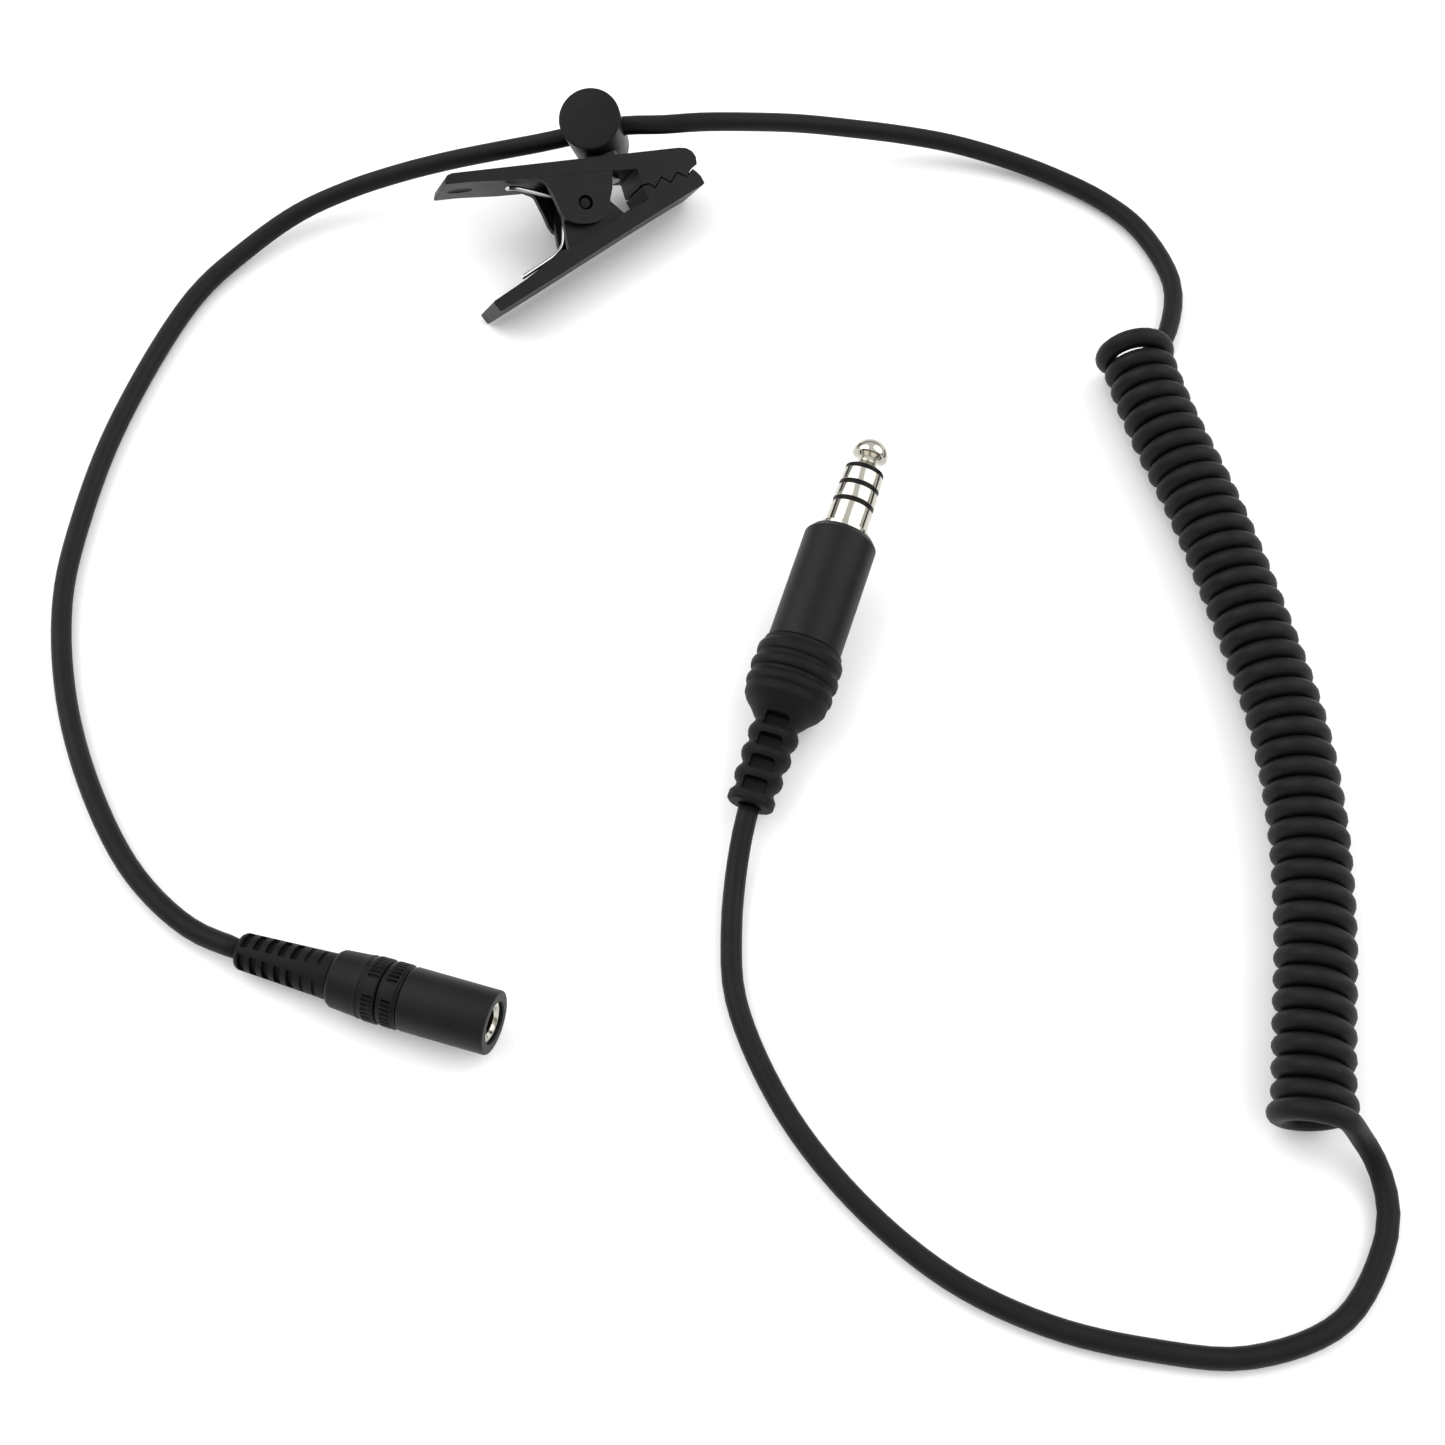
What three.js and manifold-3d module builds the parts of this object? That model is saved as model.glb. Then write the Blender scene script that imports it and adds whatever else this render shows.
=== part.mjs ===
// Headset adapter cord: a four-pole ball-tip plug, a curly cord, a swivel holder on a
// spring clip for clothing, and an in-line 3.5 mm socket, lying on a table.
// Millimetres, +Z up, table top at z = 0. The origin is under the middle of the hard pieces.
import * as THREE from 'three';
import Module from 'manifold-3d';
import { mergeVertices } from 'three/addons/utils/BufferGeometryUtils.js';

const wasm = await Module();
wasm.setup();

// ---------- driving dimensions ----------
const CORD_RADIUS = 1.65;
const CORD_SIDES = 8;
const TABLE_CLEARANCE = 0.1;
const COIL_OUTER_RADIUS = 6.1;
const GAP = 0.3;
const STACK_GAP = 0.08;

// plug, measured along its axis from the cable end of the boot
const PLUG_BOOT_END = new THREE.Vector3(4.15, -16.5, 4.4);
const PLUG_BEARING = THREE.MathUtils.degToRad(18.8); // from +Y towards +X
const PLUG_NOSE_UP = THREE.MathUtils.degToRad(7.9);
const SLEEVE_RADIUS = 3.57; // 7.14 mm sleeve of the four-pole plug
const SHELL_RADIUS = 6.0;
const SHELL_REAR = 27.2;
const SHELL_FRONT = 47.6;
const FIRST_INSULATOR = 52.5;
const CONTACT_PITCH = 3.12;
const INSULATOR_THICKNESS = 0.8;
const BALL_CENTRE = 62.5;
const BALL_RADIUS = 3.0;
const WINDOW_STATIONS = [2.7, 6.3, 10.0, 13.5];

// socket, measured along its axis from the cable end of the boot
const SOCKET_BOOT_END = new THREE.Vector3(-72.2, -39.5, 3.0);
const SOCKET_BEARING = THREE.MathUtils.degToRad(107.8); // from +Y towards +X
const SOCKET_NOSE_UP = THREE.MathUtils.degToRad(5.4);
const SOCKET_LENGTH = 41.2;
const SOCKET_RADIUS = 4.85;
const JACK_BORE_RADIUS = 1.8;
const SLOT_PITCH = 2.05;
const SLOT_COUNT = 7;
const SLOT_ROW_ANGLE = 60; // degrees from the boot's top to its first row of slots

// clip: x along the arms towards the jaws, y out through the upper arm, z along the pivot
const CLIP_PIVOT = new THREE.Vector3(-25.55, 96.77, 8.73);
const PIVOT_AXIS = new THREE.Vector3(0.322, -0.398, 0.859).normalize();
const ARM_DIRECTION = new THREE.Vector3(0.927, 0.317, -0.201);
const CLIP_HALF_WIDTH = 5.3;
const ARM_TOP = 7.6;
const ARM_UNDERSIDE = 5.1;
const EAR_THICKNESS = 1.4;
const PIN_RADIUS = 1.0;
const TOOTH_PITCH = 3.1;
const TOOTH_COUNT = 3;
const SPRING_WIRE_RADIUS = 0.4;

// swivel holder of the cable, standing on the upper arm
const HOLDER_X = 5.95;
const HOLDER_Y = 13.5;
const HOLDER_TURN = THREE.MathUtils.degToRad(-23.5);
const HOLDER_TILT = THREE.MathUtils.degToRad(-6); // of the cylinder on its boss
const HOLDER_CAP_END = 6.6; // from the cable hole to the wide end
const HOLDER_FOOT_END = -8.3; // from the cable hole to the narrow end
const HOLDER_CAP_RADIUS = 5.45;
const HOLDER_FOOT_RADIUS = 4.95;
const STEM_RADIUS = 1.5;

// ---------- materials ----------
const look = (color, roughness, metalness = 0) =>
  new THREE.MeshStandardMaterial({ color, roughness, metalness });
const jacket = () => look(0x1a1a1b, 0.6);
const satinShell = () => look(0x1c1d1e, 0.42);
const bootRubber = () => look(0x18191a, 0.7);
const gripPlastic = () => look(0x1d1e1f, 0.5);
const clipPlastic = () => look(0x26292a, 0.35);
const insulator = () => look(0x0c0c0c, 0.4);
const nickel = () => look(0xd6cfc2, 0.2, 1);
const springSteel = () => look(0xc4c4c0, 0.25, 1);

// ---------- helpers ----------
const group = new THREE.Group();

function addMesh(parent, name, geometry, material) {
  const mesh = new THREE.Mesh(geometry, material);
  mesh.name = name;
  parent.add(mesh);
  return mesh;
}

// A closed turned solid: the profile is [radius, height] pairs, turned about +Z.
function turned(profile, segments = 36) {
  const points = profile.map(([radius, height]) => new THREE.Vector2(radius, height));
  const geometry = new THREE.LatheGeometry(points, segments);
  geometry.rotateX(Math.PI / 2);
  return geometry;
}

// A turned tube: outer profile from back to front, inner bore from front to back.
function turnedTube(outer, inner, segments = 36) {
  return turned([...outer, ...inner, outer[0]], segments);
}

function ring(outerRadius, innerRadius, back, front, segments = 36) {
  return turnedTube(
    [[outerRadius, back], [outerRadius, front]],
    [[innerRadius, front], [innerRadius, back]],
    segments,
  );
}

function rod(radius, back, front, segments = 24) {
  return turned([[0, back], [radius, back], [radius, front], [0, front]], segments);
}

function plate(points, zBack, zFront) {
  const shape = new THREE.Shape(points.map(([x, y]) => new THREE.Vector2(x, y)));
  const geometry = new THREE.ExtrudeGeometry(shape, { depth: zFront - zBack, bevelEnabled: false });
  geometry.translate(0, 0, zBack);
  return geometry;
}

function arcPoints(radius, fromDegrees, toDegrees, steps) {
  const points = [];
  for (let i = 0; i <= steps; i += 1) {
    const angle = THREE.MathUtils.degToRad(fromDegrees + ((toDegrees - fromDegrees) * i) / steps);
    points.push([radius * Math.cos(angle), radius * Math.sin(angle)]);
  }
  return points;
}

function wire(points, radius, sides, steps) {
  const section = new THREE.Shape(arcPoints(radius, 0, 360 - 360 / sides, sides - 1)
    .map(([x, y]) => new THREE.Vector2(x, y)));
  const path = new THREE.CatmullRomCurve3(points, false, 'centripetal');
  return new THREE.ExtrudeGeometry(section, { steps, extrudePath: path, bevelEnabled: false });
}

function toSolid(source) {
  const bare = source.index ? source.toNonIndexed() : source.clone();
  bare.deleteAttribute('normal');
  bare.deleteAttribute('uv');
  const merged = mergeVertices(bare, 1e-4);
  const mesh = new wasm.Mesh({
    numProp: 3,
    vertProperties: new Float32Array(merged.attributes.position.array),
    triVerts: new Uint32Array(merged.index.array),
  });
  return new wasm.Manifold(mesh);
}

function fromSolid(solid) {
  const mesh = solid.getMesh();
  const geometry = new THREE.BufferGeometry();
  geometry.setAttribute('position', new THREE.BufferAttribute(new Float32Array(mesh.vertProperties), 3));
  geometry.setIndex(new THREE.BufferAttribute(new Uint32Array(mesh.triVerts), 1));
  geometry.computeVertexNormals();
  return geometry;
}

function join(...geometries) {
  return fromSolid(geometries.map(toSolid).reduce((whole, next) => whole.add(next)));
}

function cut(geometry, ...cutters) {
  return fromSolid(cutters.map(toSolid).reduce((rest, next) => rest.subtract(next), toSolid(geometry)));
}

function box(width, depth, height, x, y, z) {
  const geometry = new THREE.BoxGeometry(width, depth, height);
  geometry.translate(x, y, z);
  return geometry;
}

// A group whose +Z runs along a piece that lies at a bearing with its nose raised.
function layDown(position, bearing, noseUp) {
  const holder = new THREE.Group();
  const along = new THREE.Vector3(
    Math.sin(bearing) * Math.cos(noseUp),
    Math.cos(bearing) * Math.cos(noseUp),
    Math.sin(noseUp),
  );
  const side = new THREE.Vector3(Math.cos(bearing), -Math.sin(bearing), 0);
  const up = new THREE.Vector3().crossVectors(along, side);
  holder.position.copy(position);
  holder.quaternion.setFromRotationMatrix(new THREE.Matrix4().makeBasis(side, up, along));
  group.add(holder);
  return holder;
}

// ---------- plug ----------
function plugBoot() {
  const outer = [
    [1.95, 0], [3.4, 0], [3.75, 0.4], [3.75, 1.5], [3.15, 2.4], [3.1, 3.0], [3.88, 4.2], [3.88, 5.0],
    [3.27, 6.0], [3.27, 6.6], [4.0, 7.9], [4.0, 8.7], [3.43, 9.7], [3.43, 10.3], [4.05, 11.4],
    [4.05, 12.2], [3.52, 13.2], [3.6, 13.8], [4.2, 14.5], [4.9, 15.4], [6.0, 16.5], [6.7, 17.5],
    [6.8, 18.6], [7.05, 19.3], [7.05, 20.1], [6.6, 20.9], [6.6, 21.5], [7.15, 22.0], [7.15, 22.9],
    [6.7, 23.6], [6.7, 24.2], [6.95, 24.8], [6.95, 25.7], [6.4, 27.0],
  ];
  const inner = [[5.4, 27.0], [5.4, 19.6], [1.95, 19.6]];
  const windows = [];
  for (const station of WINDOW_STATIONS) {
    windows.push(box(4.0, 2.0, 2.1, 0, 3.3, station), box(4.0, 2.0, 2.1, 0, -3.3, station));
  }
  return cut(turnedTube(outer, inner, 32), ...windows);
}

function plugShell() {
  return turnedTube(
    [[5.1, 20.0], [5.1, SHELL_REAR], [SHELL_RADIUS, SHELL_REAR], [SHELL_RADIUS, SHELL_FRONT - 1.1],
      [SHELL_RADIUS - 0.9, SHELL_FRONT]],
    [[SLEEVE_RADIUS + GAP, SHELL_FRONT], [SLEEVE_RADIUS + GAP, SHELL_FRONT - 3], [4.6, SHELL_FRONT - 3],
      [4.6, 20.0]],
    40,
  );
}

function plugSleeve() {
  return turnedTube(
    [[4.3, 36], [4.3, SHELL_FRONT - 3 - GAP], [SLEEVE_RADIUS, SHELL_FRONT - 3 - GAP],
      [SLEEVE_RADIUS, SHELL_FRONT + GAP], [4.1, SHELL_FRONT + GAP], [4.1, SHELL_FRONT + 1.1],
      [SLEEVE_RADIUS, SHELL_FRONT + 1.1], [SLEEVE_RADIUS, FIRST_INSULATOR - STACK_GAP]],
    [[2.6, FIRST_INSULATOR - STACK_GAP], [2.6, 36]],
  );
}

function plugTip() {
  const shoulder = FIRST_INSULATOR + 2 * CONTACT_PITCH + INSULATOR_THICKNESS + STACK_GAP;
  const profile = [[0, 33], [1.2, 33], [1.2, shoulder], [3.1, shoulder], [2.9, shoulder + 0.5],
    [1.7, shoulder + 1.1], [1.6, shoulder + 1.5]];
  for (const [x, y] of arcPoints(BALL_RADIUS, -52, 90, 10)) {
    profile.push([Math.max(x, 0), BALL_CENTRE + y * 0.93]);
  }
  profile[profile.length - 1][0] = 0;
  return turned(profile);
}

function plugStack(plug) {
  const radii = [3.5, 3.4, 3.3];
  radii.forEach((radius, i) => {
    const back = FIRST_INSULATOR + i * CONTACT_PITCH;
    addMesh(plug, `plug_insulator_${i + 1}`, ring(radius, 2.6, back, back + INSULATOR_THICKNESS), insulator());
    if (i < 2) {
      const ringBack = back + INSULATOR_THICKNESS + STACK_GAP;
      const ringFront = back + CONTACT_PITCH - STACK_GAP;
      addMesh(plug, `plug_ring_contact_${i + 1}`, ring(radius, 2.6, ringBack, ringFront), nickel());
    }
  });
}

function plugCore() {
  const front = FIRST_INSULATOR + 2 * CONTACT_PITCH + INSULATOR_THICKNESS - STACK_GAP;
  return ring(2.3, 1.5, 34.5, front, 28);
}

function buildPlug() {
  const plug = layDown(PLUG_BOOT_END, PLUG_BEARING, PLUG_NOSE_UP);
  addMesh(plug, 'plug_boot', plugBoot(), bootRubber());
  addMesh(plug, 'plug_shell', plugShell(), satinShell());
  addMesh(plug, 'plug_sleeve_contact', plugSleeve(), nickel());
  plugStack(plug);
  addMesh(plug, 'plug_tip_contact', plugTip(), nickel());
  addMesh(plug, 'plug_core', plugCore(), insulator());
  addMesh(plug, 'plug_sleeve_terminal', box(2.4, 0.5, 7.0, 0, 3.4, 32.0), nickel());
  addMesh(plug, 'plug_tip_terminal', box(1.6, 0.5, 5.0, 0, 0, 30.0), nickel());
}

// ---------- socket ----------
function socketBoot() {
  const outer = [[1.95, 0], [2.5, 0], [2.85, 0.5], [3.55, 15.5], [2.9, 15.5], [2.9, 18.5]];
  const slots = [];
  for (let row = 0; row < 4; row += 1) {
    for (let i = 0; i < SLOT_COUNT; i += 1) {
      const z = 1.4 + i * SLOT_PITCH;
      const length = i < SLOT_COUNT - 2 ? 0.85 : 0.4;
      const slot = box(2.9, 1.0, length, 0, 2.85 + z * 0.045, z);
      slot.rotateZ(THREE.MathUtils.degToRad(SLOT_ROW_ANGLE + row * 90));
      slots.push(slot);
    }
  }
  return cut(turnedTube(outer, [[1.95, 18.5]], 24), ...slots);
}

function socketCone() {
  return turnedTube(
    [[4.1, 15.8], [4.4, 16.2], [4.8, 21.0], [4.55, 21.1], [4.55, 21.6], [4.95, 21.7], [4.95, 24.0]],
    [[3.9, 24.0], [3.9, 17.4], [3.2, 17.4], [3.2, 15.8]],
    40,
  );
}

function socketGripRing() {
  return turnedTube(
    [[4.5, 24.2], [4.5, 24.6], [4.95, 24.7], [4.95, 26.9], [4.6, 27.0], [4.6, 27.3]],
    [[3.9, 27.3], [3.9, 24.2]],
    40,
  );
}

function socketBarrel() {
  return turnedTube(
    [[4.7, 27.5], [SOCKET_RADIUS, 27.9], [SOCKET_RADIUS, SOCKET_LENGTH - 0.3],
      [SOCKET_RADIUS - 0.3, SOCKET_LENGTH]],
    [[3.2, SOCKET_LENGTH], [3.2, SOCKET_LENGTH - 1.0], [3.9, SOCKET_LENGTH - 1.0], [3.9, 27.5]],
    40,
  );
}

function socketBody() {
  return turnedTube(
    [[3.0, 19.0], [3.6, 19.0], [3.6, SOCKET_LENGTH - 1.4], [2.95, SOCKET_LENGTH - 1.4]],
    [[2.95, SOCKET_LENGTH - 8.0], [2.6, SOCKET_LENGTH - 8.0], [2.6, 19.0]],
    28,
  );
}

function buildSocket() {
  const socket = layDown(SOCKET_BOOT_END, SOCKET_BEARING, SOCKET_NOSE_UP);
  addMesh(socket, 'socket_boot', socketBoot(), bootRubber());
  addMesh(socket, 'socket_cone', socketCone(), gripPlastic());
  addMesh(socket, 'socket_grip_ring', socketGripRing(), gripPlastic());
  addMesh(socket, 'socket_barrel', socketBarrel(), satinShell());
  addMesh(socket, 'socket_body', socketBody(), insulator());
  const bushing = ring(2.62, JACK_BORE_RADIUS, SOCKET_LENGTH - 7.6, SOCKET_LENGTH - 0.4, 28);
  addMesh(socket, 'socket_bushing', bushing, nickel());
  const springs = [['socket_tip_spring', 90, 21.0], ['socket_ring_spring', 210, 24.0],
    ['socket_microphone_spring', 330, 27.0]];
  for (const [name, degrees, back] of springs) {
    const leaf = box(1.2, 0.3, 6.0, 0, 2.1, back + 3.0);
    leaf.rotateZ(THREE.MathUtils.degToRad(degrees));
    addMesh(socket, name, leaf, springSteel());
  }
}

// ---------- clip ----------
// The zigzag along which the two jaws meet, from the back of the jaws to the tip.
function toothLine(offset) {
  const points = [[10.8, 1.7 + offset], [12.1, 1.9 + offset]];
  for (let i = 0; i < TOOTH_COUNT; i += 1) {
    const x = 13.1 + i * TOOTH_PITCH;
    const low = 1.05 + i * 0.62;
    points.push([x, low + offset]);
    if (i < TOOTH_COUNT - 1) points.push([x + TOOTH_PITCH / 2, low + 1.75 - i * 0.12 + offset]);
  }
  points.push([20.8, 3.75 + offset]);
  return points;
}

function upperArm() {
  const outline = [[-24.2, 5.8], [-23.6, 7.3], [-22.6, ARM_TOP], [18.5, ARM_TOP], [19.4, 7.4], [20.7, 6.9],
    [21.5, 6.2], [21.75, 5.5], [21.7, 4.3], ...toothLine(0.15).reverse(), [10.5, 4.7],
    [6.0, ARM_UNDERSIDE - 0.1], [-9.0, ARM_UNDERSIDE + 0.1], [-12.7, 5.3], [-19.7, 5.75]];
  const ear = [[-9.0, ARM_UNDERSIDE + 0.5], [-6.3, 4.3], [-5.3, 1.0], [-5.0, -0.2], [-4.75, -1.3],
    [-4.2, -2.4], [-3.0, -3.2], [-1.6, -3.6], [-0.2, -3.72], [1.2, -3.65], [2.4, -3.25], [3.6, -2.35],
    [4.3, -1.2], [4.45, -0.15], [5.3, 1.9], [6.1, ARM_UNDERSIDE + 0.5]];
  const inner = CLIP_HALF_WIDTH - EAR_THICKNESS;
  const whole = join(
    plate(outline, -CLIP_HALF_WIDTH, CLIP_HALF_WIDTH),
    plate(ear, inner, CLIP_HALF_WIDTH),
    plate(ear, -CLIP_HALF_WIDTH, -inner),
  );
  const stemHole = rod(STEM_RADIUS + GAP, -4, 4, 24);
  stemHole.rotateX(Math.PI / 2);
  stemHole.translate(HOLDER_X, ARM_TOP - 1, 0);
  return cut(whole, rod(PIN_RADIUS + GAP, -7, 7), stemHole);
}

function lowerArm() {
  const outline = [...toothLine(-0.15), [21.4, 2.95], [22.0, 2.2], [22.5, 0.75], [19.3, -0.55], [11.0, -4.0],
    [0.8, -8.4], [-8.3, -12.35], [-18.9, -16.85], [-19.9, -15.0], [-13.2, -11.85], [-7.9, -8.9],
    [-6.0, -7.75], [-5.0, -7.7], [2.5, -4.7], [7.3, -2.3], [11.7, -1.0]];
  const ear = [[-4.6, -8.4], [-4.2, -7.2], [-4.1, -1.2], ...arcPoints(3.5, 180, 20, 12), [4.9, 0.2],
    [7.1, -2.3], [8.2, -2.6]];
  const outerFace = CLIP_HALF_WIDTH - EAR_THICKNESS - GAP;
  const whole = join(
    plate(outline, -CLIP_HALF_WIDTH, CLIP_HALF_WIDTH),
    plate(ear, outerFace - EAR_THICKNESS, outerFace),
    plate(ear, -outerFace, EAR_THICKNESS - outerFace),
  );
  return cut(whole, rod(PIN_RADIUS + GAP, -7, 7));
}

function springCoil() {
  const coil = ring(2.5, 1.5, -1.9, 1.9, 28);
  const leg = wire([
    new THREE.Vector3(0, 2.1, 1.4),
    new THREE.Vector3(-4.7, 2.7, 1.4),
    new THREE.Vector3(-10.4, 4.6, 1.4),
    new THREE.Vector3(-11.6, 4.7, 1.8),
    new THREE.Vector3(-12.6, 4.6, 2.4),
    new THREE.Vector3(-13.0, 4.4, 3.6),
  ], SPRING_WIRE_RADIUS, 6, 14);
  return join(coil, leg);
}

function springLowerLeg() {
  return wire([
    new THREE.Vector3(-2.7, -1.9, -1.4),
    new THREE.Vector3(-3.5, -5.2, -1.4),
    new THREE.Vector3(-4.4, -6.4, -1.4),
    new THREE.Vector3(-12.2, -10.3, -1.4),
  ], SPRING_WIRE_RADIUS, 6, 14);
}

// The holder's frame has x along the cable hole and y away from the arm, before the cylinder's tilt.
function holderBody() {
  const cylinder = turned([[0, HOLDER_FOOT_END], [HOLDER_FOOT_RADIUS - 0.3, HOLDER_FOOT_END],
    [HOLDER_FOOT_RADIUS, HOLDER_FOOT_END + 0.3], [HOLDER_CAP_RADIUS, HOLDER_CAP_END - 0.3],
    [HOLDER_CAP_RADIUS - 0.3, HOLDER_CAP_END], [0, HOLDER_CAP_END]], 40);
  cylinder.rotateX(HOLDER_TILT);
  const boss = rod(3.0, 0, 5.5, 28);
  boss.rotateX(Math.PI / 2);
  const stemSocket = rod(STEM_RADIUS + GAP, 2.7, 6.0);
  stemSocket.rotateX(Math.PI / 2);
  const cableHole = rod(CORD_RADIUS + GAP, -8, 8);
  cableHole.rotateY(Math.PI / 2);
  return cut(join(cylinder, boss), cableHole, stemSocket);
}

function swivelStem() {
  return turned([[0, 2.9], [STEM_RADIUS, 2.9], [STEM_RADIUS, 8.75], [2.6, 8.75], [2.6, 9.3], [0, 9.3]]);
}

function buildClip() {
  const clip = new THREE.Group();
  const along = ARM_DIRECTION.clone().projectOnPlane(PIVOT_AXIS).normalize();
  const outward = new THREE.Vector3().crossVectors(PIVOT_AXIS, along);
  clip.quaternion.setFromRotationMatrix(new THREE.Matrix4().makeBasis(along, outward, PIVOT_AXIS));
  clip.position.copy(CLIP_PIVOT);
  group.add(clip);
  addMesh(clip, 'clip_upper_arm', upperArm(), clipPlastic());
  addMesh(clip, 'clip_lower_arm', lowerArm(), clipPlastic());
  addMesh(clip, 'clip_pivot_pin', rod(PIN_RADIUS, -4.8, 4.8), insulator());
  addMesh(clip, 'clip_spring', springCoil(), springSteel());
  addMesh(clip, 'clip_spring_lower_leg', springLowerLeg(), springSteel());

  const swivel = new THREE.Group();
  swivel.position.set(HOLDER_X, HOLDER_Y, 0);
  swivel.rotation.y = HOLDER_TURN;
  clip.add(swivel);
  addMesh(swivel, 'cable_holder', holderBody(), clipPlastic());
  const stem = swivelStem();
  stem.rotateX(Math.PI / 2);
  addMesh(swivel, 'swivel_stem', stem, nickel());
  const washer = ring(3.2, STEM_RADIUS + GAP, 5.6, 5.83);
  washer.rotateX(Math.PI / 2);
  addMesh(swivel, 'swivel_washer', washer, insulator());
}

// ---------- cord ----------
const REST_Z = CORD_RADIUS + TABLE_CLEARANCE;
const onTable = ([x, y, z = REST_Z]) => new THREE.Vector3(x, y, z);

const PLUG_LEAD = [
  [4.05, -16.9, 4.35], [2.8, -20.8, 3.7], [1.6, -27.5, 2.4], [1.2, -36.0], [2.1, -46.8], [8.5, -62.8],
  [18.2, -76.5], [31.8, -88.4], [45.3, -95.1], [59.0, -97.6], [72.7, -97.6], [86.6, -92.5],
  [94.1, -81.5], [95.6, -74.5], [95.0, -70.5],
];

const COIL_AXIS = [
  [70.2, 69.4], [73.6, 54.5], [78.6, 35.1], [83.4, 12.6], [86.2, -4.3], [87.2, -20.9],
  [87.1, -37.5], [86.1, -51.9], [84.7, -65.4],
];

const SOCKET_LEAD = [
  [76.6, 73.6], [79.2, 79.0], [79.8, 86.5], [74.5, 98.5], [68.7, 104.7], [60.2, 110.4, 1.9],
  [51.0, 114.3, 2.6], [41.9, 116.5, 3.8], [32.5, 117.0, 5.6], [23.2, 116.25, 8.0], [14.0, 115.1, 10.5],
  [4.9, 113.0, 13.2], [-4.0, 111.3, 15.0], [-10.5, 111.25, 15.5], [-17.3, 110.9, 14.75], [-22.65, 110.25, 13.95],
  [-28.0, 109.6, 13.1], [-32.5, 109.0, 12.4], [-39.7, 108.2, 11.3], [-48.8, 107.6, 9.4],
  [-58.0, 106.4, 7.4], [-67.2, 104.3, 5.4], [-76.4, 100.5, 3.6],
  [-85.4, 93.0, 2.4], [-93.4, 83.2, 1.85], [-103.4, 56.9],
  [-107.3, 36.5], [-108.1, 21.4], [-104.9, 3.3], [-98.3, -13.6], [-90.0, -27.0, 1.85],
  [-80.6, -35.6, 2.2], [-72.55, -39.35, 2.95],
];

function buildCord() {
  addMesh(group, 'lead_plug', wire(PLUG_LEAD.map(onTable), CORD_RADIUS, CORD_SIDES, 30), jacket());
  const coilPath = COIL_AXIS.map(([x, y]) => new THREE.Vector3(x, y, COIL_OUTER_RADIUS + TABLE_CLEARANCE));
  addMesh(group, 'curly_cord', wire(coilPath, COIL_OUTER_RADIUS, 20, 22), jacket());
  addMesh(group, 'lead_socket', wire(SOCKET_LEAD.map(onTable), CORD_RADIUS, CORD_SIDES, 60), jacket());
}

buildPlug();
buildSocket();
buildClip();

// Put the origin on the table under the middle of the hard pieces.
group.updateMatrixWorld(true);
const hardPieces = new THREE.Box3().setFromObject(group, true);
const middle = hardPieces.getCenter(new THREE.Vector3());
group.position.set(-middle.x, -middle.y, 0);
buildCord();
group.updateMatrixWorld(true);

export default group;
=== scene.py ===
"""Looks of the headset adapter cord: ball-tip plug, curly cord, clothing clip and in-line socket.

Lengths are written in millimetres in each piece's own frame, and scaled to metres when a mesh is made.
"""
import math

import bmesh
import bpy
from mathutils import Matrix, Vector


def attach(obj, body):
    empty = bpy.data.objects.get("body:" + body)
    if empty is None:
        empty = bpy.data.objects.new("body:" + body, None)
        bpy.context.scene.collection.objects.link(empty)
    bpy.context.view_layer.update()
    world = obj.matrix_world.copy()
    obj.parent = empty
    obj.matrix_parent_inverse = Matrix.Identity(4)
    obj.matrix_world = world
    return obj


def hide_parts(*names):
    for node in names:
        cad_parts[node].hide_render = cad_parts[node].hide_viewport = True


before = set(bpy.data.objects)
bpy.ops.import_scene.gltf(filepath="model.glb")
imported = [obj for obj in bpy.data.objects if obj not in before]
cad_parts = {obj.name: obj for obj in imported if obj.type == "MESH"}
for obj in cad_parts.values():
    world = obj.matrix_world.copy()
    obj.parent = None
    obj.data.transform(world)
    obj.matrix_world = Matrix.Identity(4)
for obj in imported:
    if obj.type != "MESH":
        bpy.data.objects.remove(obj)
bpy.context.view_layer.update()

MM = 0.001

# ---------- driving dimensions: where the hard pieces are, the same as in the part ----------
ORIGIN_SHIFT = Vector((22.9603, -30.7205, 0.0))
CORD_RADIUS = 1.65
REST_Z = 1.75  # height of the cable's centre where it lies on the table
PLUG_BOOT_END = Vector((4.15, -16.5, 4.4))
PLUG_BEARING = math.radians(18.8)
PLUG_NOSE_UP = math.radians(7.9)
SOCKET_BOOT_END = Vector((-72.2, -39.5, 3.0))
SOCKET_BEARING = math.radians(107.8)
SOCKET_NOSE_UP = math.radians(5.4)
CLIP_PIVOT = Vector((-25.55, 96.77, 8.73))
PIVOT_AXIS = Vector((0.322, -0.398, 0.859)).normalized()
ARM_DIRECTION = Vector((0.927, 0.317, -0.201))
HOLDER_X = 5.95
HOLDER_Y = 13.5
HOLDER_TURN = math.radians(-23.5)
HOLDER_TILT = math.radians(-6)

# ---------- camera and stage ----------
CAMERA_ELEVATION = math.radians(64)
CAMERA_DISTANCE = 321.0
CAMERA_LENS = 50.0
CAMERA_SENSOR_WIDTH = 36.0
SKY_STRENGTH = 1.15
# The sky's tone by the sine of the height above the horizon.
SKY_TONES = ((0.0, 0.85), (0.07, 0.80), (0.20, 0.16), (0.42, 0.93))
FLOOR_HALF_SIZE = 9.0  # metres
FLOOR_HEIGHT = -0.0002  # metres


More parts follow.
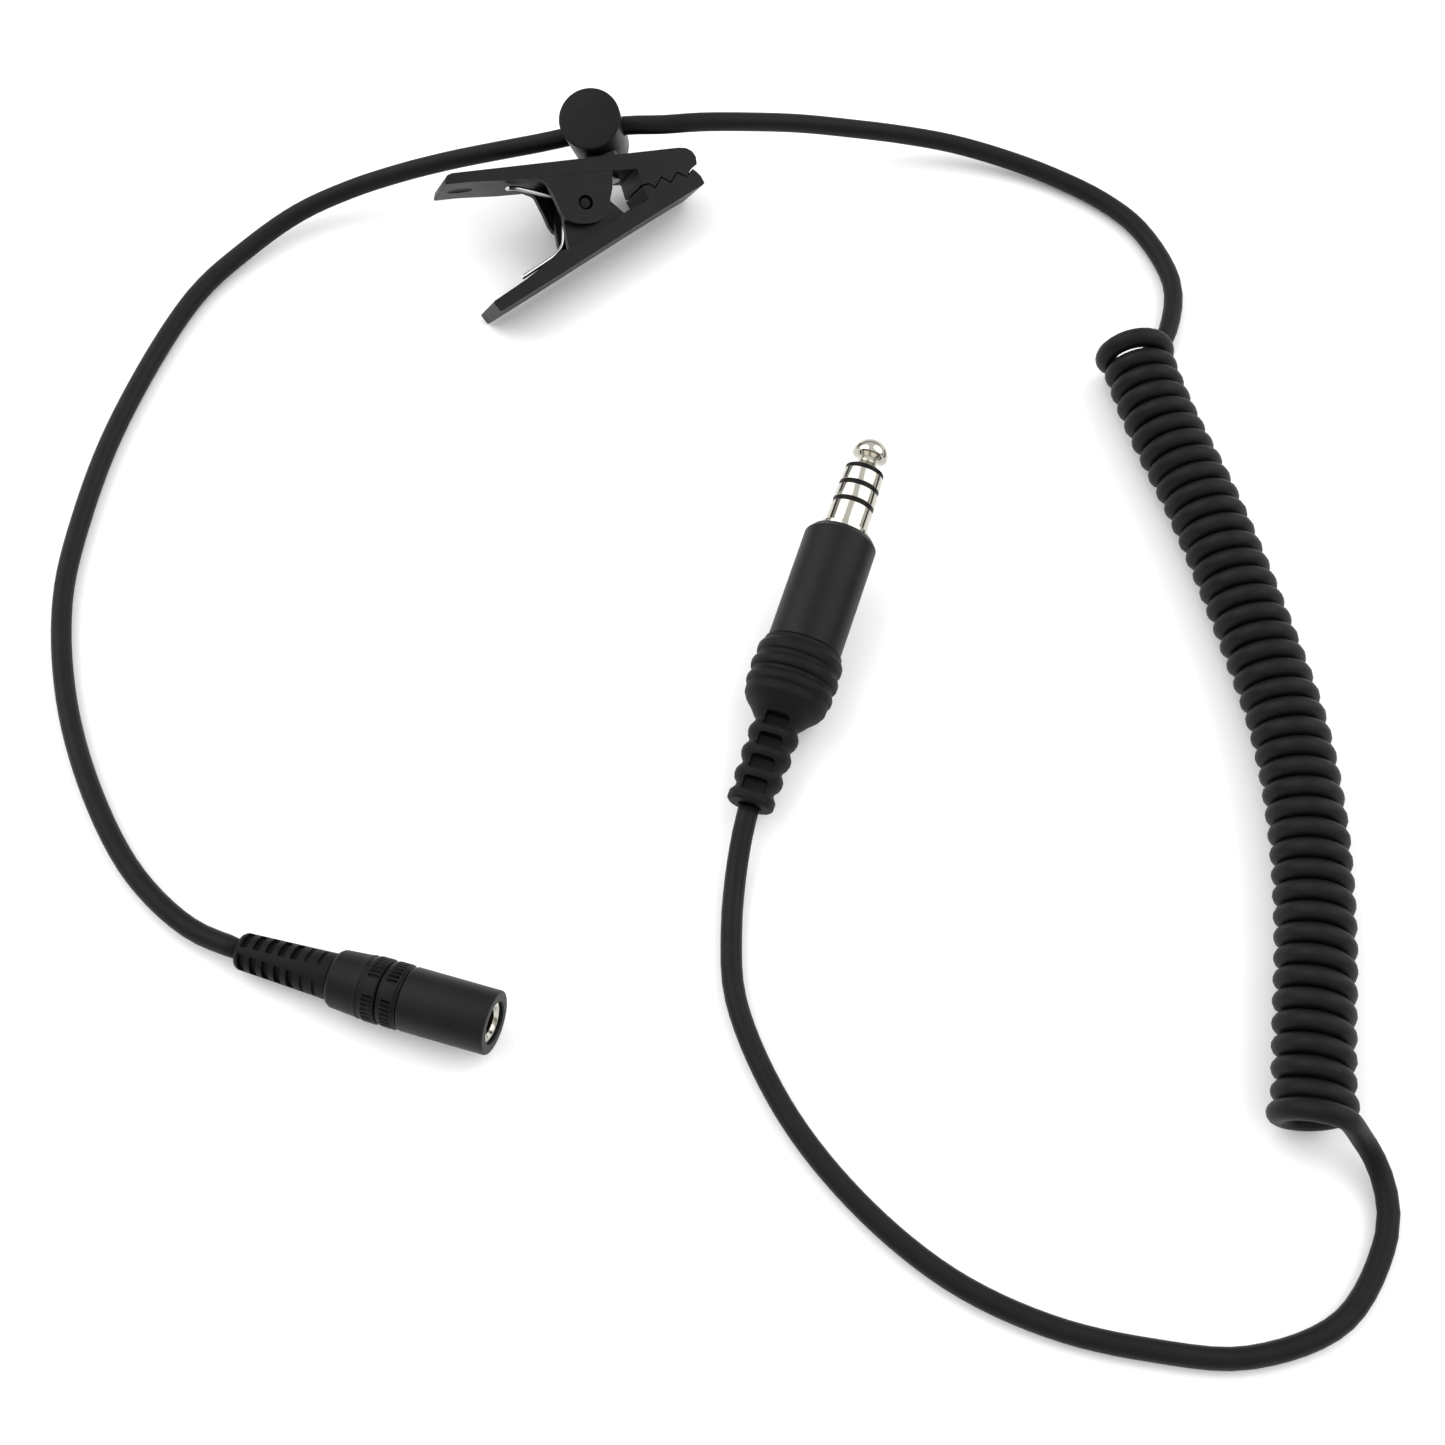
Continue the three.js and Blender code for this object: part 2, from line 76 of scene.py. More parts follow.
def make_camera():
    """The photograph's view: it looks down at the middle of the part's own layout."""
    data = bpy.data.cameras.new("camera")
    data.lens = CAMERA_LENS
    data.sensor_width = CAMERA_SENSOR_WIDTH
    camera = bpy.data.objects.new("camera", data)
    bpy.context.collection.objects.link(camera)
    back = Vector((0.0, -math.cos(CAMERA_ELEVATION), math.sin(CAMERA_ELEVATION)))
    camera.location = (ORIGIN_SHIFT + back * CAMERA_DISTANCE) * MM
    camera.rotation_euler = (math.pi / 2 - CAMERA_ELEVATION, 0.0, 0.0)
    data.clip_start = 0.01
    data.clip_end = 20.0
    bpy.context.scene.camera = camera


def sun_light(name, from_point, strength, spread_degrees):
    """A sun that shines from the point towards the origin, wide enough to give soft shadows."""
    data = bpy.data.lights.new(name, "SUN")
    data.energy = strength
    data.angle = math.radians(spread_degrees)
    light = bpy.data.objects.new(name, data)
    bpy.context.collection.objects.link(light)
    light.location = from_point
    light.rotation_mode = "QUATERNION"
    light.rotation_quaternion = (-Vector(from_point)).to_track_quat("-Z", "Y")


def make_sky():
    """A bright ceiling and a pale horizon, with a greyer band between them for metal to reflect."""
    world = bpy.data.worlds.new("studio")
    world.use_nodes = True
    tree = world.node_tree
    place = tree.nodes.new("ShaderNodeTexCoord")
    split = tree.nodes.new("ShaderNodeSeparateXYZ")
    ramp = tree.nodes.new("ShaderNodeValToRGB")
    while len(ramp.color_ramp.elements) < len(SKY_TONES):
        ramp.color_ramp.elements.new(0.5)
    for stop, (height, tone) in zip(ramp.color_ramp.elements, SKY_TONES):
        stop.position = height
        stop.color = (tone, tone, tone, 1.0)
    tree.links.new(place.outputs["Generated"], split.inputs["Vector"])
    tree.links.new(split.outputs["Z"], ramp.inputs["Fac"])
    tree.links.new(ramp.outputs["Color"], tree.nodes["Background"].inputs["Color"])
    tree.nodes["Background"].inputs["Strength"].default_value = SKY_STRENGTH
    bpy.context.scene.world = world


def make_stage():
    """A pale paper floor, two soft suns and a plain view transform."""
    mesh = bpy.data.meshes.new("floor")
    half = FLOOR_HALF_SIZE
    corners = [(-half, -half, 0), (half, -half, 0), (half, half, 0), (-half, half, 0)]
    mesh.from_pydata(corners, [], [(0, 1, 2, 3)])
    floor = bpy.data.objects.new("floor", mesh)
    bpy.context.collection.objects.link(floor)
    floor.location.z = FLOOR_HEIGHT
    material = bpy.data.materials.new("floor_paper")
    material.use_nodes = True
    shader = material.node_tree.nodes["Principled BSDF"]
    shader.inputs["Base Color"].default_value = (0.93, 0.93, 0.93, 1.0)
    shader.inputs["Roughness"].default_value = 0.9
    mesh.materials.append(material)

    sun_light("key", (-1.0, 0.55, 1.1), 1.5, 60)
    sun_light("fill", (1.0, 0.35, 0.9), 1.4, 60)
    bpy.context.scene.view_settings.view_transform = "Standard"


make_camera()
make_sky()
make_stage()

# ---------- the cord: one line from the plug, through the coil and the holder, to the socket ----------
# Points are (x, y) on the table or (x, y, height). The route isn't quite the part's: after the part was
# finished, the coil and parts of both leads were moved by up to 2.3 mm to match the photograph, and the
# leads were run on into the coil, up to 4.5 mm past where the part's solids for them end.
PLUG_LEAD = [
    (4.15, -16.5, 4.4), (4.05, -16.9, 4.35), (3.1, -20.8, 3.7), (2.0, -27.5, 2.4), (1.35, -36.0),
    (2.0, -46.8), (8.6, -62.8), (18.9, -76.5), (31.8, -87.5), (45.3, -93.95), (59.0, -97.15),
    (72.7, -98.15), (86.4, -93.1), (93.9, -81.5), (94.6, -75.6, 2.0), (93.2, -71.0, 3.3),
    (90.9, -68.6, 6.0),
]
COIL_AXIS = [
    (84.2, -67.0), (86.3, -51.9), (88.3, -37.5), (89.3, -20.9), (88.5, -4.3), (85.3, 12.6), (79.9, 35.1),
    (73.8, 54.5), (70.5, 68.6),
]
SOCKET_LEAD = [
    (76.2, 72.0, 1.85), (79.0, 78.1), (79.9, 86.5), (75.2, 98.3), (69.0, 104.9), (60.2, 110.5, 1.9),
    (51.0, 114.3, 2.6), (41.9, 116.5, 3.8), (32.5, 117.0, 5.6), (23.2, 116.25, 8.0), (14.0, 115.1, 10.5),
    (4.9, 113.0, 13.2), (-4.0, 111.3, 15.0), (-10.5, 110.4, 15.35), (-17.3, 110.75, 14.7),
    (-22.63, 110.275, 13.89), (-28.0, 109.55, 13.02), (-32.5, 108.95, 12.3), (-39.7, 108.2, 11.2),
    (-48.8, 107.5, 9.4), (-58.0, 106.35, 7.4), (-67.2, 104.3, 5.4), (-76.4, 100.5, 3.6), (-85.4, 93.0, 2.4),
    (-93.4, 83.2, 1.85), (-103.4, 56.9), (-107.3, 36.5), (-108.1, 21.4), (-104.9, 3.3), (-98.3, -13.6),
    (-90.0, -27.0, 1.85), (-80.6, -35.6, 2.2), (-72.2, -39.5, 3.0),
]
COIL_LINE_RADIUS = 4.45
COIL_HEIGHT = 6.2  # of the axis
COIL_TURNS = 40.65
COIL_START_ANGLE = math.radians(50)
POINTS_PER_TURN = 28
END_FLARE = 1.0  # how far the very end of the coil stands out
FLARE_TURNS = 1.2  # turns over which the flare dies away
AXIS_SPACING = 1.0
LEAD_SPACING = 2.5
CAP_BULGE = 0.3  # depth of a wire's rounded end, as a share of its radius


def table_point(point):
    """The point at its own height, or lying on the table."""
    return Vector((point[0], point[1], point[2] if len(point) > 2 else REST_Z))


def through(points, spacing):
    """A smooth centripetal curve through the points, sampled about every spacing millimetres."""
    line = []
    padded = [2 * points[0] - points[1], *points, 2 * points[-1] - points[-2]]
    for a, b, c, d in zip(padded, padded[1:], padded[2:], padded[3:]):
        t0, t1 = 0.0, math.sqrt((b - a).length)
        t2 = t1 + math.sqrt((c - b).length)
        t3 = t2 + math.sqrt((d - c).length)
        steps = max(1, round((c - b).length / spacing))
        for i in range(steps):
            t = t1 + (t2 - t1) * i / steps
            ab = a.lerp(b, (t - t0) / (t1 - t0))
            bc = b.lerp(c, (t - t1) / (t2 - t1))
            cd = c.lerp(d, (t - t2) / (t3 - t2))
            abc = ab.lerp(bc, (t - t0) / (t2 - t0))
            bcd = bc.lerp(cd, (t - t1) / (t3 - t1))
            line.append(abc.lerp(bcd, (t - t1) / (t2 - t1)))
    line.append(points[-1].copy())
    return line


def line_length(line):
    """The length of a line of points."""
    return sum((b - a).length for a, b in zip(line, line[1:]))


def coil_line():
    """The turns, wound left-handed from the plug lead's end to the socket lead's end."""
    axis = through([Vector((x, y, COIL_HEIGHT)) for x, y in COIL_AXIS], AXIS_SPACING)
    total = line_length(axis)
    reach = [0.0]
    for a, b in zip(axis, axis[1:]):
        reach.append(reach[-1] + (b - a).length)
    count = round(COIL_TURNS * POINTS_PER_TURN)
    line = []
    k = 0
    for i in range(count + 1):
        part = i / count
        target = part * total
        while k < len(axis) - 2 and reach[k + 1] < target:
            k += 1
        centre = axis[k].lerp(axis[k + 1], (target - reach[k]) / (reach[k + 1] - reach[k]))
        along = (axis[min(k + 2, len(axis) - 1)] - axis[max(k - 1, 0)]).normalized()
        east = along.cross(Vector((0, 0, 1))).normalized()
        angle = COIL_START_ANGLE + 2 * math.pi * COIL_TURNS * part
        turns_from_end = min(part, 1 - part) * COIL_TURNS
        flare = END_FLARE * max(0.0, 1 - turns_from_end / FLARE_TURNS)
        radius = COIL_LINE_RADIUS + flare
        # A turn that flares is lifted by as much, so it stays on the table.
        height = math.sin(angle) * radius + flare
        line.append(centre + east * math.cos(angle) * radius + Vector((0, 0, height)))
    return line


def tube_bmesh(line, radius, sides=14, cap_steps=3):
    """A round wire along the line, with rounded ends. Its section is carried along without twisting."""
    first = (line[1] - line[0]).normalized()
    last = (line[-1] - line[-2]).normalized()
    stations = []
    for k in range(cap_steps, 0, -1):
        angle = math.pi / 2 * k / (cap_steps + 1)
        bulge = first * radius * CAP_BULGE * (1 - math.sin(angle))
        stations.append((line[0] + bulge, first, radius * math.cos(angle)))
    for i in range(1, len(line) - 1):
        stations.append((line[i], (line[i + 1] - line[i - 1]).normalized(), radius))
    for k in range(1, cap_steps + 1):
        angle = math.pi / 2 * k / (cap_steps + 1)
        bulge = last * radius * CAP_BULGE * (1 - math.sin(angle))
        stations.append((line[-1] - bulge, last, radius * math.cos(angle)))
    bm = bmesh.new()
    side = first.orthogonal().normalized()
    rows = []
    for centre, along, size in stations:
        side = (side - along * side.dot(along)).normalized()
        up = along.cross(side)
        rows.append([
            bm.verts.new(centre + side * math.cos(turn) * size + up * math.sin(turn) * size)
            for turn in (2 * math.pi * i / sides for i in range(sides))
        ])
    for low, high in zip(rows, rows[1:]):
        for i in range(sides):
            j = (i + 1) % sides
            bm.faces.new((low[i], low[j], high[j], high[i]))
    bm.faces.new(rows[0][::-1])
    bm.faces.new(rows[-1])
    return bm


def cord_line():
    """The whole cable. Each lead runs on smoothly into the coil's first or last points."""
    coil = coil_line()
    plug_lead = through([*[table_point(p) for p in PLUG_LEAD], *coil[:3]], LEAD_SPACING)
    cut = next(i for i, p in enumerate(plug_lead) if (p - coil[0]).length < 1e-6)
    socket_lead = through([*coil[-3:], *[table_point(p) for p in SOCKET_LEAD]], LEAD_SPACING)
    start = next(i for i, p in enumerate(socket_lead) if (p - coil[-1]).length < 1e-6)
    return [*plug_lead[:cut], *coil, *socket_lead[start + 1:]]


def make_cord():
    line = cord_line()
    cord = add_piece("cord", tube_bmesh(line, CORD_RADIUS), Matrix(), JACKET, "cord_set", "cord_jacket",
                     "lead_plug", "curly_cord", "lead_socket", sharp_degrees=80)


# ---------- materials ----------
def node(tree, kind, **inputs):
    """A new shader node with those inputs set."""
    made = tree.nodes.new(kind)
    for name, value in inputs.items():
        made.inputs[name].default_value = value
    return made


def plastic(name, dark, light, roughness, grain_size, grain_depth, spread=0.08, specular=0.5):
    """Moulded plastic or rubber: mottled colour, uneven gloss and a fine grain, sized in millimetres."""
    material = bpy.data.materials.new(name)
    material.use_nodes = True
    tree = material.node_tree
    shader = tree.nodes["Principled BSDF"]
    shader.inputs["Specular IOR Level"].default_value = specular
    place = tree.nodes.new("ShaderNodeTexCoord")

    mottle = node(tree, "ShaderNodeTexNoise", Scale=260.0, Detail=5.0, Roughness=0.6)
    tree.links.new(place.outputs["Object"], mottle.inputs["Vector"])
    tone = tree.nodes.new("ShaderNodeValToRGB")
    tone.color_ramp.elements[0].position = 0.35
    tone.color_ramp.elements[0].color = (*dark, 1.0)
    tone.color_ramp.elements[1].position = 0.7
    tone.color_ramp.elements[1].color = (*light, 1.0)
    tree.links.new(mottle.outputs["Fac"], tone.inputs["Fac"])
    tree.links.new(tone.outputs["Color"], shader.inputs["Base Color"])

    smudge = node(tree, "ShaderNodeTexNoise", Scale=120.0, Detail=3.0, Roughness=0.5)
    tree.links.new(place.outputs["Object"], smudge.inputs["Vector"])
    gloss = tree.nodes.new("ShaderNodeMapRange")
    gloss.inputs["To Min"].default_value = roughness - spread
    gloss.inputs["To Max"].default_value = roughness + spread
    tree.links.new(smudge.outputs["Fac"], gloss.inputs["Value"])
    tree.links.new(gloss.outputs["Result"], shader.inputs["Roughness"])

    grain = node(tree, "ShaderNodeTexNoise", Scale=1.0 / (grain_size * MM), Detail=3.0, Roughness=0.65)
    tree.links.new(place.outputs["Object"], grain.inputs["Vector"])
    bump = tree.nodes.new("ShaderNodeBump")
    bump.inputs["Strength"].default_value = 0.6
    bump.inputs["Distance"].default_value = grain_depth * MM
    tree.links.new(grain.outputs["Fac"], bump.inputs["Height"])
    tree.links.new(bump.outputs["Normal"], shader.inputs["Normal"])
    return material


def metal(name, tone_low, tone_high, roughness, scratch_scale, spread=0.05):
    """Plated or drawn metal with faint smears in its gloss and hairline scratches."""
    material = bpy.data.materials.new(name)
    material.use_nodes = True
    tree = material.node_tree
    shader = tree.nodes["Principled BSDF"]
    shader.inputs["Metallic"].default_value = 1.0
    place = tree.nodes.new("ShaderNodeTexCoord")

    cloud = node(tree, "ShaderNodeTexNoise", Scale=300.0, Detail=4.0)
    tree.links.new(place.outputs["Object"], cloud.inputs["Vector"])
    tone = tree.nodes.new("ShaderNodeValToRGB")
    tone.color_ramp.elements[0].color = (*tone_low, 1.0)
    tone.color_ramp.elements[1].color = (*tone_high, 1.0)
    tree.links.new(cloud.outputs["Fac"], tone.inputs["Fac"])
    tree.links.new(tone.outputs["Color"], shader.inputs["Base Color"])
    gloss = tree.nodes.new("ShaderNodeMapRange")
    gloss.inputs["To Min"].default_value = roughness - spread
    gloss.inputs["To Max"].default_value = roughness + spread
    tree.links.new(cloud.outputs["Fac"], gloss.inputs["Value"])
    tree.links.new(gloss.outputs["Result"], shader.inputs["Roughness"])

    scratch = node(tree, "ShaderNodeTexNoise", Scale=scratch_scale, Detail=2.0)
    tree.links.new(place.outputs["Object"], scratch.inputs["Vector"])
    bump = tree.nodes.new("ShaderNodeBump")
    bump.inputs["Strength"].default_value = 0.25
    bump.inputs["Distance"].default_value = 0.01 * MM
    tree.links.new(scratch.outputs["Fac"], bump.inputs["Height"])
    tree.links.new(bump.outputs["Normal"], shader.inputs["Normal"])
    return material


# Name, darkest and lightest colour, roughness, grain size and grain depth.
JACKET = plastic("jacket_pvc", (0.0028, 0.0028, 0.0030), (0.0046, 0.0046, 0.0049), 0.50, 0.12, 0.012,
                 specular=0.15)
SATIN = plastic("satin_shell", (0.0026, 0.0028, 0.0030), (0.0040, 0.0043, 0.0046), 0.46, 0.07, 0.004,
                spread=0.05, specular=0.17)
RUBBER = plastic("boot_rubber", (0.0022, 0.0022, 0.0023), (0.0040, 0.0040, 0.0042), 0.56, 0.16, 0.02,
                 specular=0.13)
GRIP = plastic("grip_plastic", (0.0024, 0.0024, 0.0026), (0.0040, 0.0040, 0.0043), 0.50, 0.10, 0.010,
               specular=0.15)
CLIP = plastic("clip_plastic", (0.0026, 0.0030, 0.0031), (0.0046, 0.0052, 0.0053), 0.40, 0.14, 0.006,
               spread=0.06, specular=0.15)
INSULATOR = plastic("insulator_black", (0.002, 0.002, 0.002), (0.003, 0.003, 0.003), 0.40, 0.1, 0.004,
                    specular=0.12)
NICKEL = metal("nickel_plate", (0.40, 0.385, 0.335), (0.52, 0.50, 0.44), 0.13, 2600.0)
STEEL = metal("spring_steel", (0.60, 0.60, 0.59), (0.74, 0.74, 0.72), 0.22, 3200.0)

# ---------- mesh helpers ----------
STRAIGHT_ENOUGH = math.radians(176)
TINY = 1e-6


def fillet(points, radius, steps=4, closed=False):
    """The outline with its corners rounded off. A point's third number is that corner's own radius."""
    rounded = []
    count = len(points)
    for i, point in enumerate(points):
        corner = Vector(point[:2])
        size = point[2] if len(point) > 2 else radius
        if (not closed and i in (0, count - 1)) or size <= 0:
            rounded.append(corner)
            continue
        before = Vector(points[i - 1][:2])
        after = Vector(points[(i + 1) % count][:2])
        to_before, to_after = before - corner, after - corner
        angle = to_before.angle(to_after)
        if angle > STRAIGHT_ENOUGH or min(to_before.length, to_after.length) < TINY:
            rounded.append(corner)
            continue
        reach = min(size / math.tan(angle / 2), 0.48 * to_before.length, 0.48 * to_after.length)
        start = corner + to_before.normalized() * reach
        end = corner + to_after.normalized() * reach
        for k in range(steps + 1):
            t = k / steps
            rounded.append(start.lerp(corner, t).lerp(corner.lerp(end, t), t))
    return rounded


def finish_mesh(name, bm, matrix, material, sharp_degrees):
    """An object in metres in the part's frame, smooth but for its sharp edges."""
    bmesh.ops.remove_doubles(bm, verts=bm.verts, dist=1e-5)
    bmesh.ops.recalc_face_normals(bm, faces=bm.faces)
    mesh = bpy.data.meshes.new(name)
    bm.to_mesh(mesh)
    bm.free()
    mesh.transform(Matrix.Diagonal((MM, MM, MM, 1.0)) @ Matrix.Translation(ORIGIN_SHIFT) @ matrix)
    mesh.polygons.foreach_set("use_smooth", [True] * len(mesh.polygons))
    mesh.set_sharp_from_angle(angle=math.radians(sharp_degrees))
    mesh.materials.append(material)
    piece = bpy.data.objects.new(name, mesh)
    bpy.context.collection.objects.link(piece)
    return piece


def turned_bmesh(profile, segments=72):
    """A solid of revolution about Z. Its (radius, height) pairs end on the axis or form a ring."""
    bm = bmesh.new()
    on_axis = [p[0] < TINY for p in profile]
    rows = []
    for (radius, height), axial in zip(profile, on_axis):
        if axial:
            rows.append([bm.verts.new((0, 0, height))])
            continue
        turns = [2 * math.pi * i / segments for i in range(segments)]
        rows.append([bm.verts.new((radius * math.cos(t), radius * math.sin(t), height)) for t in turns])
    pairs = list(zip(rows, rows[1:]))
    if not (on_axis[0] and on_axis[-1]):
        pairs.append((rows[-1], rows[0]))
    for low, high in pairs:
        for i in range(segments):
            j = (i + 1) % segments
            if len(low) == 1 and len(high) == 1:
                break
            if len(low) == 1:
                bm.faces.new((low[0], high[j], high[i]))
            elif len(high) == 1:
                bm.faces.new((low[i], low[j], high[0]))
            else:
                bm.faces.new((low[i], low[j], high[j], high[i]))
    return bm


def slab_bmesh(outline, back, front):
    """A flat outline in X and Y, extruded along Z."""
    bm = bmesh.new()
    low = [bm.verts.new((x, y, back)) for x, y in outline]
    high = [bm.verts.new((x, y, front)) for x, y in outline]
    bm.faces.new(low[::-1])
    bm.faces.new(high)
    count = len(outline)
    for i in range(count):
        j = (i + 1) % count
        bm.faces.new((low[i], low[j], high[j], high[i]))
    return bm


def rod_bmesh(radius, low, high, segments, matrix=None):
    """A plain rod along Z, moved by the matrix."""
    outline = [(0, low), (radius, low), (radius, high), (0, high)]
    bm = turned_bmesh([Vector(point) for point in outline], segments)
    if matrix is not None:
        bmesh.ops.transform(bm, matrix=matrix, verts=bm.verts)
    return bm


def box_bmesh(centre, size):
    """A box along the axes."""
    bm = bmesh.new()
    bmesh.ops.create_cube(bm, size=1.0)
    bmesh.ops.scale(bm, vec=size, verts=bm.verts)
    bmesh.ops.translate(bm, vec=centre, verts=bm.verts)
    return bm


def soften(bm, width, segments=3, angle_degrees=35):
    """Rounds every edge sharper than the angle."""
    limit = math.radians(angle_degrees)
    edges = [e for e in bm.edges if len(e.link_faces) == 2 and e.calc_face_angle(0.0) > limit]
    bmesh.ops.bevel(bm, geom=edges, offset=width, segments=segments, profile=0.5, affect="EDGES",
                    clamp_overlap=True)


def to_object(name, bm):
    """A plain object for a boolean, in millimetres."""
    bmesh.ops.recalc_face_normals(bm, faces=bm.faces)
    mesh = bpy.data.meshes.new(name)
    bm.to_mesh(mesh)
    bm.free()
    made = bpy.data.objects.new(name, mesh)
    bpy.context.collection.objects.link(made)
    return made


def combine(base, others, operation):
    """The base bmesh with the others joined to it (UNION) or cut from it (DIFFERENCE)."""
    whole = to_object("boolean_base", base)
    helpers = [to_object("boolean_tool", other) for other in others]
    for helper in helpers:
        modifier = whole.modifiers.new("boolean", "BOOLEAN")
        modifier.operation = operation
        modifier.solver = "EXACT"
        modifier.object = helper
    graph = bpy.context.evaluated_depsgraph_get()
    result = bmesh.new()
    result.from_object(whole, graph)
    for made in [whole, *helpers]:
        mesh = made.data
        bpy.data.objects.remove(made)
        bpy.data.meshes.remove(mesh)
    bmesh.ops.remove_doubles(result, verts=result.verts, dist=1e-4)
    return result


def add_piece(name, bm, matrix, material, body, slot, *nodes, sharp_degrees=40):
    """A piece that rides on the body and replaces the nodes."""
    piece = finish_mesh(name, bm, matrix, material, sharp_degrees)
    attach(piece, body)
    if nodes:
        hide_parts(*nodes)
    return piece


def lying_frame(position, bearing, nose_up):
    """Z along a connector from its cable end, at that bearing from +Y and that much nose up."""
    level = math.cos(nose_up)
    along = Vector((math.sin(bearing) * level, math.cos(bearing) * level, math.sin(nose_up)))
    side = Vector((math.cos(bearing), -math.sin(bearing), 0.0))
    up = along.cross(side)
    turn = Matrix((side, up, along)).transposed().to_4x4()
    return Matrix.Translation(position) @ turn


def arc(radius, from_degrees, to_degrees, steps):
    """Points round the origin."""
    points = []
    for i in range(steps + 1):
        angle = math.radians(from_degrees + (to_degrees - from_degrees) * i / steps)
        points.append((radius * math.cos(angle), radius * math.sin(angle)))
    return points


# ---------- plug ----------
SLEEVE_RADIUS = 3.57
SHELL_RADIUS = 6.0
SHELL_REAR = 27.2
SHELL_FRONT = 47.6
FIRST_INSULATOR = 52.5
CONTACT_PITCH = 3.12
INSULATOR_THICKNESS = 0.8
HEAD_BACK = 62.5  # where the ball head is widest
HEAD_RADIUS = 2.95
HEAD_HEIGHT = 2.8
WINDOW_STATIONS = (2.7, 6.3, 10.0, 13.5)
WINDOW_SIZE = (3.8, 4.0, 2.35)
WINDOW_OFFSET = 3.9  # of a window's centre from the axis
INSULATOR_RADII = (3.5, 3.4, 3.3)
CORE_RADIUS = 2.6  # of the hole through the contacts and their insulators
SEAM = 0.02  # gap between a contact and its insulator
FLANGE_FRONT = SHELL_FRONT + 1.1
SHELL_BORE = 3.75
PLUG_FRAME = lying_frame(PLUG_BOOT_END, PLUG_BEARING, PLUG_NOSE_UP)


def plug_boot():
    """Three narrow ribs, then a wide end with three rings. Four windows on each of two sides."""
    outer = [(2.0, 0.0), (3.4, 0.0), (3.75, 0.35), (3.75, 1.5), (3.15, 2.35), (3.1, 3.0)]
    for station, top, waist in ((4.6, 3.9, 3.27), (8.3, 4.02, 3.43), (11.8, 4.07, 3.52)):
        outer += [(top - 0.22, station - 0.95), (top, station - 0.25), (top - 0.03, station + 0.45),
                  (top - 0.35, station + 1.1), (waist, station + 1.4), (waist, station + 1.95)]
    outer += [(4.2, 14.5), (4.9, 15.4), (6.0, 16.5), (6.62, 17.5), (6.72, 18.7), (6.6, 18.9), (6.98, 19.25),
              (7.05, 19.6), (7.05, 20.1), (6.85, 20.6), (6.55, 20.85), (6.55, 21.5), (7.0, 21.7),
              (7.15, 22.1), (7.15, 22.8), (7.0, 23.2), (6.62, 23.45), (6.62, 24.15), (6.9, 24.4),
              (6.98, 24.8), (6.95, 25.6), (6.7, 26.1), (6.45, 26.4), (6.35, 27.05)]
    outer = fillet(outer, 0.22, 3)
    inner = [Vector(p) for p in [(5.4, 27.05), (5.4, 19.6), (1.75, 19.6), (1.75, 0.5), (1.9, 0.0)]]
    cutters = []
    for station in WINDOW_STATIONS:
        for side in (1, -1):
            window = box_bmesh((0, side * WINDOW_OFFSET, station), WINDOW_SIZE)
            soften(window, 0.5, 4)
            cutters.append(window)
    return combine(turned_bmesh(outer + inner, 80), cutters, "DIFFERENCE")


def plug_shell():
    """The round grip, with a spigot at its rear that goes inside the boot."""
    outer = fillet([(5.1, 20.0), (5.1, SHELL_REAR), (SHELL_RADIUS - 0.15, SHELL_REAR),
                    (SHELL_RADIUS, SHELL_REAR + 0.2), (SHELL_RADIUS, SHELL_FRONT - 1.1, 0.8),
                    (SHELL_RADIUS - 0.9, SHELL_FRONT, 0.5)], 0.1)
    outer.append(Vector((SHELL_BORE, SHELL_FRONT)))
    inner = [(SHELL_BORE, SHELL_FRONT - 3), (4.6, SHELL_FRONT - 3), (4.6, 20.0)]
    return turned_bmesh(outer + [Vector(p) for p in inner], 96)


def plug_piece(name, bm, material, slot, node_name):
    add_piece(name, bm, PLUG_FRAME, material, "cord_set", slot, node_name)


def plug_sleeve():
    """The long rear contact, with a flange at the shell and the sleeve that reaches the first insulator."""
    return turned_bmesh(fillet([
        (CORE_RADIUS, 36), (4.3, 36), (4.3, 44.2), (SLEEVE_RADIUS, 44.2), (SLEEVE_RADIUS, 47.75),
        (4.1, 47.75), (4.1, FLANGE_FRONT), (SLEEVE_RADIUS, FLANGE_FRONT),
        (SLEEVE_RADIUS - 0.04, FIRST_INSULATOR - SEAM, 0.06), (CORE_RADIUS, FIRST_INSULATOR - SEAM),
    ], 0.12, closed=True), 96)


def plug_insulator(radius, back, front):
    edge = radius - 0.06
    outline = [(CORE_RADIUS, back), (edge, back), (edge, front), (CORE_RADIUS, front)]
    return turned_bmesh(fillet(outline, 0.05, closed=True), 72)


def plug_ring_contact(radius, back, front):
    outline = [(CORE_RADIUS, back), (radius, back), (radius - 0.05, front), (CORE_RADIUS, front)]
    return turned_bmesh(fillet(outline, 0.06, closed=True), 96)


def plug_tip():
    """The rod through the plug, a shoulder, a waist and a rounded head like a mushroom's."""
    shoulder = FIRST_INSULATOR + 2 * CONTACT_PITCH + INSULATOR_THICKNESS + SEAM
    outline = fillet([(0, 33), (1.2, 33), (1.2, shoulder), (2.75, shoulder, 0.06),
                      (2.5, shoulder + 0.45, 0.3), (1.55, shoulder + 1.1, 0.4), (1.45, shoulder + 1.6, 0.4),
                      (1.75, shoulder + 2.1, 0.3), (2.6, shoulder + 2.45, 0.1),
                      (2.85, shoulder + 2.6, 0.1)], 0.1)
    for x, y in arc(1.0, 0, 90, 22):
        outline.append(Vector((max(x, 0.0) * HEAD_RADIUS, HEAD_BACK + y * HEAD_HEIGHT)))
    outline[-1].x = 0.0
    return turned_bmesh(outline, 96)


